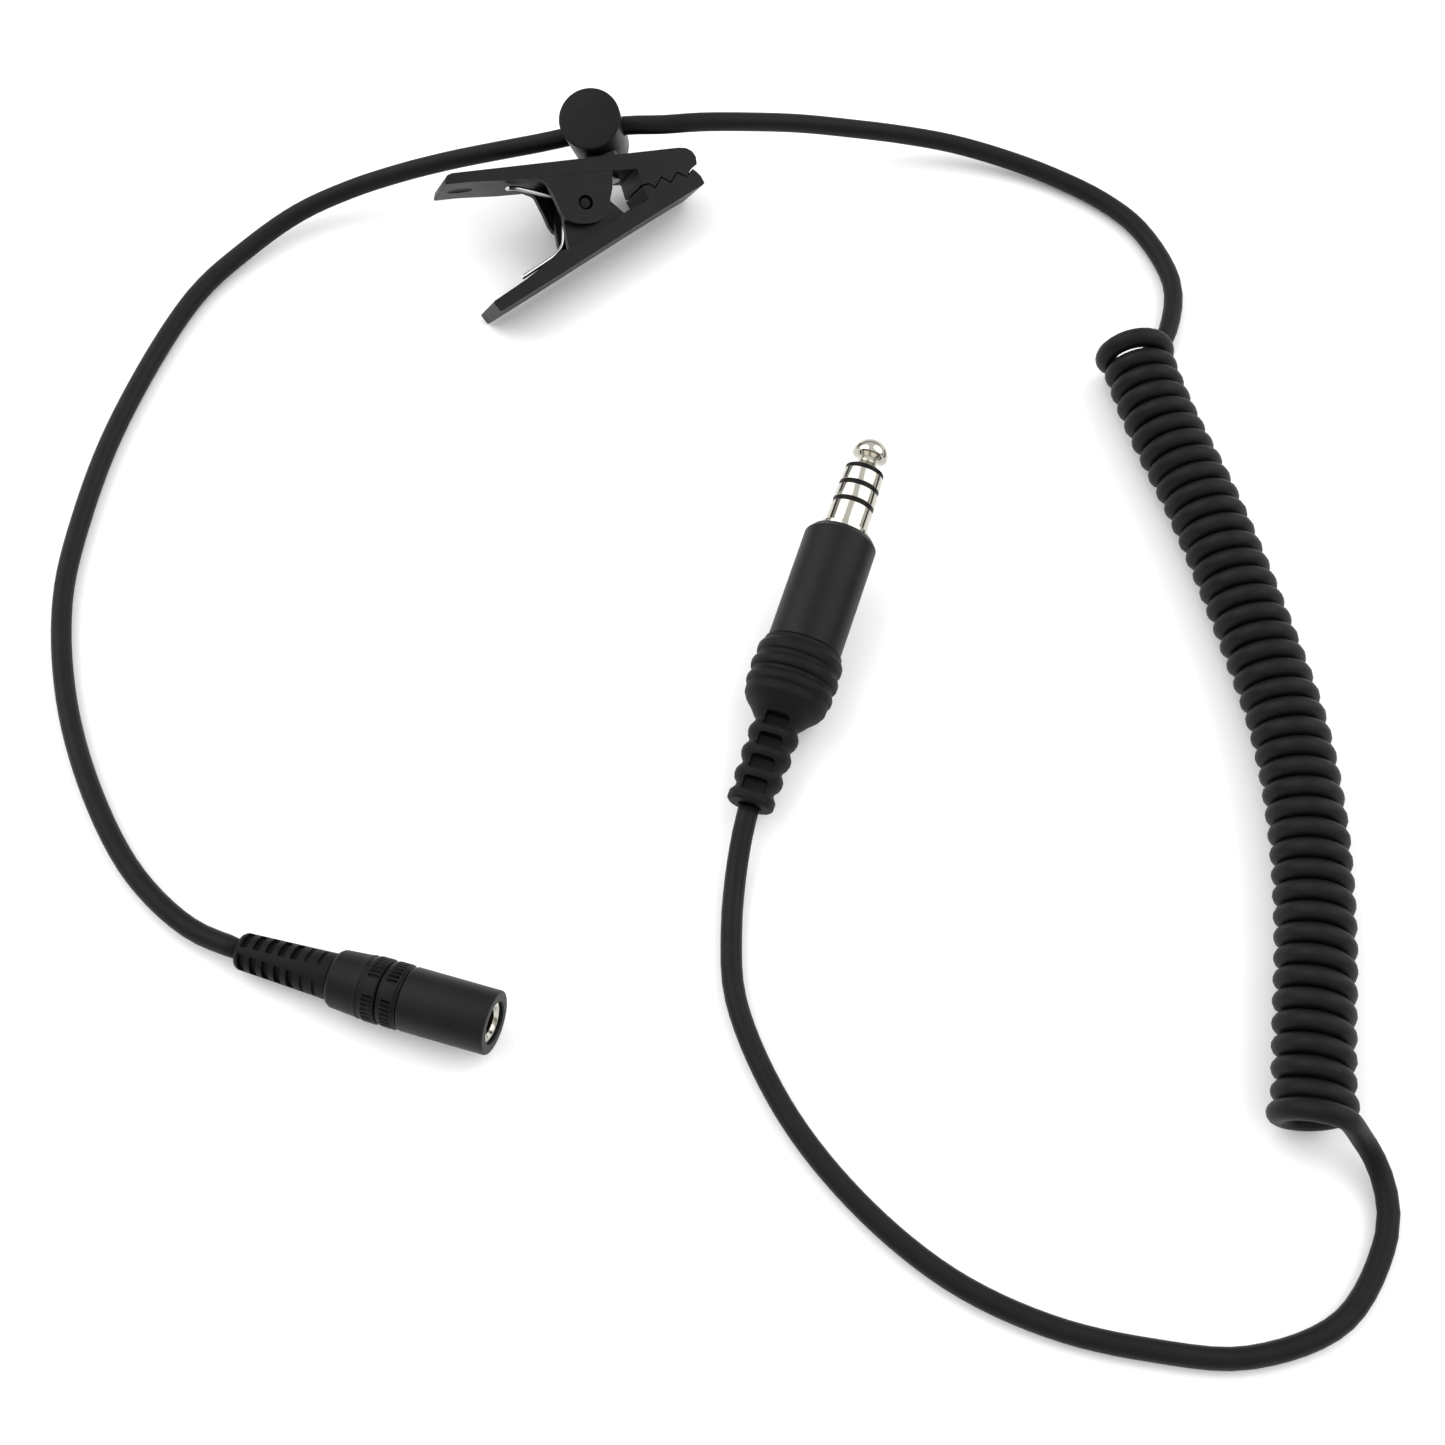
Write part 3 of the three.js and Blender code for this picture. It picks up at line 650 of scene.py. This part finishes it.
def make_plug():
    plug_piece("plug_boot_fine", plug_boot(), RUBBER, "boot_rubber", "plug_boot")
    plug_piece("plug_shell_fine", plug_shell(), SATIN, "satin_shell", "plug_shell")
    plug_piece("plug_sleeve_fine", plug_sleeve(), NICKEL, "nickel", "plug_sleeve_contact")
    for i, radius in enumerate(INSULATOR_RADII):
        back = FIRST_INSULATOR + i * CONTACT_PITCH
        front = back + INSULATOR_THICKNESS
        plug_piece(f"plug_insulator_fine_{i + 1}", plug_insulator(radius, back, front), INSULATOR,
                   "insulator", f"plug_insulator_{i + 1}")
        if i < 2:
            ring = plug_ring_contact(radius, front + SEAM, back + CONTACT_PITCH - SEAM)
            plug_piece(f"plug_ring_fine_{i + 1}", ring, NICKEL, "nickel", f"plug_ring_contact_{i + 1}")
    plug_piece("plug_tip_fine", plug_tip(), NICKEL, "nickel", "plug_tip_contact")


# ---------- socket ----------
SOCKET_LENGTH = 41.2
SOCKET_RADIUS = 4.85
SLOT_ROW_ANGLE = 60  # degrees about the axis to the first row of slots and first group of ribs
SLOT_ROWS = 4
SLOTS_PER_ROW = 7
DEEP_SLOTS = 5  # the last ones in a row are shallower and shorter
FIRST_SLOT = 1.4
SLOT_PITCH = 2.05
BOOT_TAPER = 0.045
RIB_DEPTH = 0.4
RIB_STEP = 2.25  # degrees
RIBBED_ARC = 60  # degrees of each quarter that carries ribs
MOUTH_RING_BACK = SOCKET_LENGTH - 1.3
MOUTH_RING_FRONT = SOCKET_LENGTH - 0.4
SOCKET_FRAME = lying_frame(SOCKET_BOOT_END, SOCKET_BEARING, SOCKET_NOSE_UP)


def socket_boot():
    """A tapered strain relief with four rows of slots."""
    outer = fillet([(2.0, 0), (2.5, 0, 0.3), (2.85, 0.5, 0.4), (3.55, 15.5, 0.1), (2.9, 15.5),
                    (2.9, 18.5)], 0.1)
    inner = [Vector(p) for p in [(1.75, 18.5), (1.75, 0.4), (1.85, 0.0)]]
    cutters = []
    for row in range(SLOT_ROWS):
        turn = Matrix.Rotation(math.radians(SLOT_ROW_ANGLE + row * 90), 4, "Z")
        for i in range(SLOTS_PER_ROW):
            z = FIRST_SLOT + i * SLOT_PITCH
            length, depth = (1.1, 1.0) if i < DEEP_SLOTS else (0.6, 0.5)
            slot = box_bmesh((0, 2.87 + z * BOOT_TAPER - depth + 0.9, z), (3.3, 1.8, length))
            soften(slot, 0.14, 2)
            bmesh.ops.transform(slot, matrix=turn, verts=slot.verts)
            cutters.append(slot)
    return combine(turned_bmesh(outer + inner, 64), cutters, "DIFFERENCE")


def grip_band(profile, low, high, segments=160):
    """A turned band whose middle carries groups of fine axial grip ribs, four groups round it."""
    bm = turned_bmesh(profile, segments)
    for vert in bm.verts:
        radius = math.hypot(vert.co.x, vert.co.y)
        if radius < 4.5 or not low < vert.co.z < high:
            continue
        angle = (math.degrees(math.atan2(vert.co.y, vert.co.x)) - SLOT_ROW_ANGLE + 30) % 90
        if angle < RIBBED_ARC and round(angle / RIB_STEP) % 4 in (0, 1):
            scale = (radius - RIB_DEPTH) / radius
            vert.co.x *= scale
            vert.co.y *= scale
    return bm


def socket_cone():
    """The cone up from the boot, with the first grip band at its wide end."""
    return grip_band(fillet([
        (3.2, 15.8), (4.1, 15.8), (4.4, 16.3, 0.5), (4.72, 20.4, 0.5), (4.85, 20.95), (4.68, 21.1),
        (4.68, 21.6), (4.9, 21.75), (4.95, 22.0, 0), (4.95, 22.2, 0), (4.95, 23.6, 0), (4.95, 23.8, 0),
        (4.7, 24.0), (3.9, 24.0), (3.9, 17.4), (3.2, 17.4),
    ], 0.12, closed=True), 22.1, 23.7)


def socket_grip_ring():
    """The second grip band, a ring of its own."""
    return grip_band(fillet([
        (3.9, 24.2), (4.65, 24.2), (4.65, 24.6), (4.9, 24.75), (4.95, 25.0, 0), (4.95, 25.2, 0),
        (4.95, 26.6, 0), (4.95, 26.75, 0), (4.85, 26.95), (4.66, 27.05), (4.66, 27.35), (3.9, 27.35),
    ], 0.08, closed=True), 25.1, 26.7)


def socket_barrel():
    """The smooth tube, with a lip at its mouth."""
    lip_back = SOCKET_LENGTH - 1.0
    return turned_bmesh(fillet([
        (3.9, 27.5), (4.7, 27.5), (SOCKET_RADIUS, 27.85), (SOCKET_RADIUS, SOCKET_LENGTH, 0.4),
        (3.2, SOCKET_LENGTH, 0.2), (3.2, lip_back), (3.9, lip_back),
    ], 0.15, closed=True), 96)


def socket_body():
    """The black insulator inside the barrel."""
    back = SOCKET_LENGTH - 8
    front = SOCKET_LENGTH - 1.4
    outline = [(2.95, back), (2.95, front), (3.6, front), (3.6, 19.0), (2.6, 19.0), (2.6, back)]
    return turned_bmesh(fillet(outline, 0.1, closed=True), 72)


def socket_bushing():
    """The nickel bushing, with a ring that shows at the mouth."""
    back = SOCKET_LENGTH - 7.6
    return turned_bmesh(fillet([
        (1.8, back), (2.62, back), (2.62, MOUTH_RING_BACK), (3.1, MOUTH_RING_BACK),
        (3.1, MOUTH_RING_FRONT, 0.2), (2.3, MOUTH_RING_FRONT, 0.15), (1.8, SOCKET_LENGTH - 0.9, 0.15),
    ], 0.05, closed=True), 72)


def make_socket():
    for name, bm, material, slot in (
            ("socket_boot", socket_boot(), RUBBER, "boot_rubber"),
            ("socket_cone", socket_cone(), GRIP, "grip_plastic"),
            ("socket_grip_ring", socket_grip_ring(), GRIP, "grip_plastic"),
            ("socket_barrel", socket_barrel(), SATIN, "satin_shell"),
            ("socket_body", socket_body(), INSULATOR, "insulator"),
            ("socket_bushing", socket_bushing(), NICKEL, "nickel")):
        add_piece(name + "_fine", bm, SOCKET_FRAME, material, "cord_set", slot, name)


# ---------- clip ----------
CLIP_HALF_WIDTH = 5.3
ARM_TOP = 7.6
ARM_UNDERSIDE = 5.1
EAR_THICKNESS = 1.4
EAR_GAP = 0.3  # between the upper arm's ears and the lower arm's
EAR_INSET = 0.06
PIN_RADIUS = 1.0
PIN_CLEARANCE = 0.3
STEM_HOLE_RADIUS = 1.8
CABLE_HOLE_RADIUS = 1.95
TOOTH_PITCH = 3.1
JAW_HALF_GAP = 0.15
SPRING_WIRE_RADIUS = 0.4
SPRING_LINE_RADIUS = 2.1
SPRING_PITCH = 0.83
SPRING_TURNS = 3
SPRING_TOP = 1.4
STEPS_PER_SPRING_TURN = 24
ACROSS = Matrix.Rotation(math.pi / 2, 4, "X")
SIDEWAYS = Matrix.Rotation(math.pi / 2, 4, "Y")


def clip_frame():
    """X along the arms towards the jaws, Y out through the upper arm, Z along the pivot."""
    along = (ARM_DIRECTION - ARM_DIRECTION.dot(PIVOT_AXIS) * PIVOT_AXIS).normalized()
    outward = PIVOT_AXIS.cross(along)
    turn = Matrix((along, outward, PIVOT_AXIS)).transposed().to_4x4()
    return Matrix.Translation(CLIP_PIVOT) @ turn


CLIP_FRAME = clip_frame()
HOLDER_PLACE = Matrix.Translation((HOLDER_X, HOLDER_Y, 0)) @ Matrix.Rotation(HOLDER_TURN, 4, "Y")
HOLDER_FRAME = CLIP_FRAME @ HOLDER_PLACE


def tooth_line(offset):
    """The toothed edge of a jaw, moved up or down by the offset."""
    points = [(10.8, 1.7 + offset), (12.1, 1.9 + offset)]
    for i in range(3):
        x = 13.1 + i * TOOTH_PITCH
        low = 1.05 + i * 0.62
        points.append((x, low + offset, 0.2))
        if i < 2:
            points.append((x + TOOTH_PITCH / 2, low + 1.75 - i * 0.12 + offset, 0.2))
    points.append((20.8, 3.75 + offset))
    return points


def clip_arm(outline):
    """A moulded arm with softened edges, as wide as the clip."""
    plate = slab_bmesh(fillet(outline, 0.12, closed=True), -CLIP_HALF_WIDTH, CLIP_HALF_WIDTH)
    soften(plate, 0.28, 3, 50)
    return plate


def ear_pair(outline, corner_radius, inner, outer):
    """Two ears for the pivot pin, from the inner to the outer distance on either side."""
    ears = []
    for side in (1, -1):
        back, front = sorted((side * inner, side * outer))
        ear = slab_bmesh(fillet(outline, corner_radius, closed=True), back, front)
        soften(ear, 0.16, 2, 50)
        ears.append(ear)
    return ears


def pin_hole():
    return rod_bmesh(PIN_RADIUS + PIN_CLEARANCE, -7, 7, 40)


def thumb_dimple():
    dimple = bmesh.new()
    bmesh.ops.create_uvsphere(dimple, u_segments=32, v_segments=16, radius=1.0)
    bmesh.ops.scale(dimple, vec=(2.4, 0.5, 1.6), verts=dimple.verts)
    bmesh.ops.translate(dimple, vec=(-20.6, 5.65, 0), verts=dimple.verts)
    return dimple


def upper_arm():
    outline = [(-24.2, 5.8, 0.3), (-23.6, 7.3, 0.6), (-22.6, ARM_TOP, 0.8), (18.8, ARM_TOP, 1.0),
               (20.2, 7.4, 0.8), (21.3, 6.7, 0.8), (21.8, 5.6, 0.5), (21.7, 4.3, 0.3),
               *tooth_line(JAW_HALF_GAP)[::-1], (10.5, 4.7, 0.3), (6.0, ARM_UNDERSIDE - 0.1),
               (-9.0, ARM_UNDERSIDE + 0.1), (-12.7, 5.3), (-19.7, 5.75)]
    ear_outline = [(-9.0, ARM_UNDERSIDE + 0.5), (-6.3, 4.3, 1.5), (-5.3, 1.0, 1.0), (-5.0, -0.2),
                   (-4.75, -1.3), (-4.2, -2.4), (-3.0, -3.2), (-1.6, -3.6), (-0.2, -3.72), (1.2, -3.65),
                   (2.4, -3.25), (3.6, -2.35), (4.3, -1.2), (4.45, -0.15), (5.3, 1.9),
                   (6.1, ARM_UNDERSIDE + 0.5)]
    near = CLIP_HALF_WIDTH - EAR_THICKNESS
    ears = ear_pair(ear_outline, 0.8, near, CLIP_HALF_WIDTH - EAR_INSET)
    whole = combine(clip_arm(outline), ears, "UNION")
    place = Matrix.Translation((HOLDER_X, ARM_TOP - 1, 0)) @ ACROSS
    stem_hole = rod_bmesh(STEM_HOLE_RADIUS, -4, 4, 40, place)
    return combine(whole, [pin_hole(), stem_hole, thumb_dimple()], "DIFFERENCE")


def lower_arm():
    outline = [*tooth_line(-JAW_HALF_GAP), (21.4, 2.95, 0.3), (22.0, 2.2, 0.4), (22.5, 0.75, 0.4),
               (19.3, -0.55, 2.0), (11.0, -4.0), (0.8, -8.4), (-8.3, -12.35), (-18.9, -16.85, 0.4),
               (-19.9, -15.0, 0.4), (-13.2, -11.85), (-7.9, -8.9, 1.0), (-6.0, -7.75, 0.5), (-5.0, -7.7),
               (2.5, -4.7), (7.3, -2.3), (11.7, -1.0, 0.4)]
    ear_outline = [(-4.6, -8.4), (-4.2, -7.2), (-4.1, -1.2), *arc(3.5, 180, 20, 20), (4.9, 0.2), (7.1, -2.3),
                   (8.2, -2.6)]
    outer_face = CLIP_HALF_WIDTH - EAR_THICKNESS - EAR_GAP
    ears = ear_pair(ear_outline, 0.0, outer_face - EAR_THICKNESS, outer_face)
    return combine(combine(clip_arm(outline), ears, "UNION"), [pin_hole()], "DIFFERENCE")


def holder():
    """The swivel cylinder, with the cable's hole through it and a boss on the stem's side."""
    outline = fillet([(0, -8.3), (4.95, -8.3, 0.35), (5.45, 6.6, 0.3), (0, 6.6)], 0.3, 5)
    cylinder = turned_bmesh(outline, 96)
    bmesh.ops.transform(cylinder, matrix=Matrix.Rotation(HOLDER_TILT, 4, "X"), verts=cylinder.verts)
    whole = combine(cylinder, [rod_bmesh(3.0, 0, 5.5, 48, ACROSS)], "UNION")
    cable_hole = rod_bmesh(CABLE_HOLE_RADIUS, -8, 8, 48, SIDEWAYS)
    stem_hole = rod_bmesh(STEM_HOLE_RADIUS, 2.7, 6.0, 40, ACROSS)
    return combine(whole, [cable_hole, stem_hole], "DIFFERENCE")


def spring_piece(name, points, body, node_name):
    add_piece(name, tube_bmesh(points, SPRING_WIRE_RADIUS, 12), CLIP_FRAME, STEEL, body, "spring_steel",
              node_name, sharp_degrees=80)


def make_spring():
    """Wound wire round the pivot: three and a half turns and an upper leg, and a lower leg of its own."""
    turns = []
    for i in range(SPRING_TURNS * STEPS_PER_SPRING_TURN + STEPS_PER_SPRING_TURN // 2 + 1):
        angle = math.radians(90) - 2 * math.pi * i / STEPS_PER_SPRING_TURN
        turns.append(Vector((SPRING_LINE_RADIUS * math.cos(angle), SPRING_LINE_RADIUS * math.sin(angle),
                             SPRING_TOP - SPRING_PITCH * i / STEPS_PER_SPRING_TURN)))
    upper_leg = [(-13.0, 4.4, 3.6), (-12.6, 4.6, 2.4), (-11.6, 4.7, 1.8), (-10.4, 4.6, SPRING_TOP),
                 (-4.7, 2.7, SPRING_TOP), (-1.2, 2.15, SPRING_TOP)]
    lower_leg = [(-2.7, -1.9, -SPRING_TOP), (-3.5, -5.2, -SPRING_TOP), (-4.4, -6.4, -SPRING_TOP),
                 (-12.2, -10.3, -SPRING_TOP)]
    leg = through([Vector(point) for point in upper_leg], 0.5)
    spring_piece("clip_spring_fine", leg[:-1] + turns, "clip_upper", "clip_spring")
    lower = through([Vector(point) for point in lower_leg], 0.5)
    spring_piece("clip_spring_lower_fine", lower, "clip_lower", "clip_spring_lower_leg")


def make_clip():
    add_piece("clip_upper_fine", upper_arm(), CLIP_FRAME, CLIP, "clip_upper", "clip_plastic",
              "clip_upper_arm", sharp_degrees=32)
    add_piece("clip_lower_fine", lower_arm(), CLIP_FRAME, CLIP, "clip_lower", "clip_plastic",
              "clip_lower_arm", sharp_degrees=32)
    pin_outline = [(0, -4.8), (PIN_RADIUS, -4.8, 0.2), (PIN_RADIUS, 4.8, 0.2), (0, 4.8)]
    pin = turned_bmesh(fillet(pin_outline, 0.2), 40)
    add_piece("clip_pin_fine", pin, CLIP_FRAME, INSULATOR, "clip_upper", "insulator", "clip_pivot_pin")
    add_piece("cable_holder_fine", holder(), HOLDER_FRAME, CLIP, "cord_set", "clip_plastic", "cable_holder",
              sharp_degrees=32)
    make_spring()


make_cord()
make_plug()
make_socket()
make_clip()

# ---------- CAD pieces that keep their own shape ----------
KEPT = {
    "plug_core": INSULATOR, "plug_sleeve_terminal": NICKEL, "plug_tip_terminal": NICKEL,
    "socket_tip_spring": NICKEL, "socket_ring_spring": NICKEL, "socket_microphone_spring": NICKEL,
    "swivel_stem": STEEL, "swivel_washer": INSULATOR,
}
for name, material in KEPT.items():
    for material_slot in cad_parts[name].material_slots:
        material_slot.material = material
